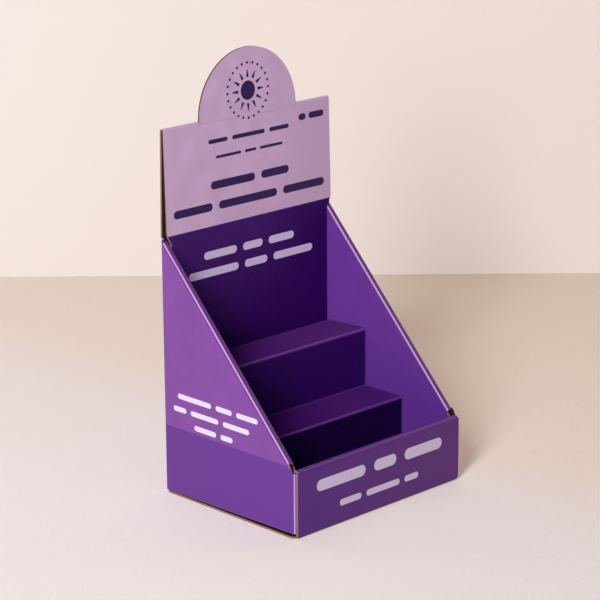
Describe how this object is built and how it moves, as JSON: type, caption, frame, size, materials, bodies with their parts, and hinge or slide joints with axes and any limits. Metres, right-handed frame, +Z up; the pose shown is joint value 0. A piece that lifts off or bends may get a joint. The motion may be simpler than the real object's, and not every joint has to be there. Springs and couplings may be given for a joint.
{
  "type": "countertop display box",
  "caption": "Tall-backed counter display carton with sloping double side walls, a low front lip, a header with a half-round crown and a stepped insert inside.",
  "frame": {"origin": "centre of the footprint at the underside of the base", "axes": "+X to the right as a shopper faces it, +Y to the back, +Z up; the open low front faces -Y"},
  "size_m": [0.163, 0.1316, 0.306],
  "materials": {
    "printed_board": "satin aqueous coating on purple print, bare kraft inside and at the cut edges",
    "insert_board": "satin aqueous coating on dark purple print"
  },
  "bodies": {
    "root": {"display_tray": "printed_board", "step_insert": "insert_board"}
  },
  "joints": []
}
